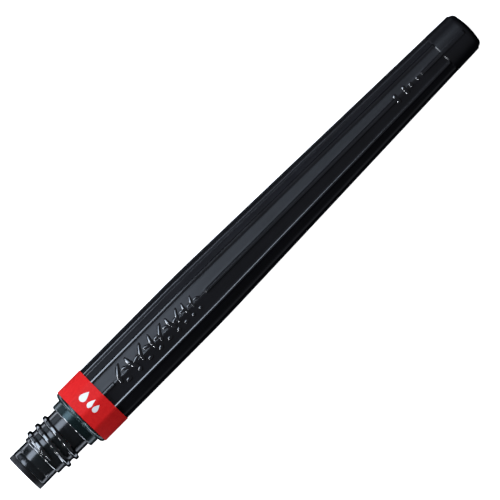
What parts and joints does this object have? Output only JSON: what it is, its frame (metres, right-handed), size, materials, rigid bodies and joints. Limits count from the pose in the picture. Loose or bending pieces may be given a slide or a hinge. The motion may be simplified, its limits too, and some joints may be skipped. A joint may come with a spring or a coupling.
{
  "type": "brush pen ink refill",
  "caption": "Soft squeeze-barrel ink refill for a brush pen, with a ribbed tapering barrel, a coloured band, and a threaded neck sealed by a ball.",
  "frame": {"origin": "centre of the object's box, on the barrel's axis", "axes": "X runs along the barrel from the nozzle (-X) to the tail (+X); -Z is the flat of the band that the refill lies on"},
  "size_m": [0.128, 0.014, 0.0138],
  "materials": {
    "barrel_plastic": "moulded semi-gloss",
    "collar_plastic": "moulded semi-gloss, tinted green-blue",
    "band_film": "printed satin film",
    "nozzle_plastic": "glossy",
    "gasket_elastomer": "matte",
    "ball_plastic": "smooth",
    "ink": "liquid"
  },
  "bodies": {
    "refill": {"barrel": "barrel_plastic", "stop_collar": "collar_plastic", "colour_band": "band_film", "inner_plug": "nozzle_plastic", "face_gasket": "gasket_elastomer", "ink_fill": "ink"},
    "seal": {"seal_ball": "ball_plastic"}
  },
  "joints": [
    {"name": "seal_push", "type": "slide", "parent": "refill", "child": "seal", "axis": [1, 0, 0], "range_m": [0, 0.0085]}
  ]
}
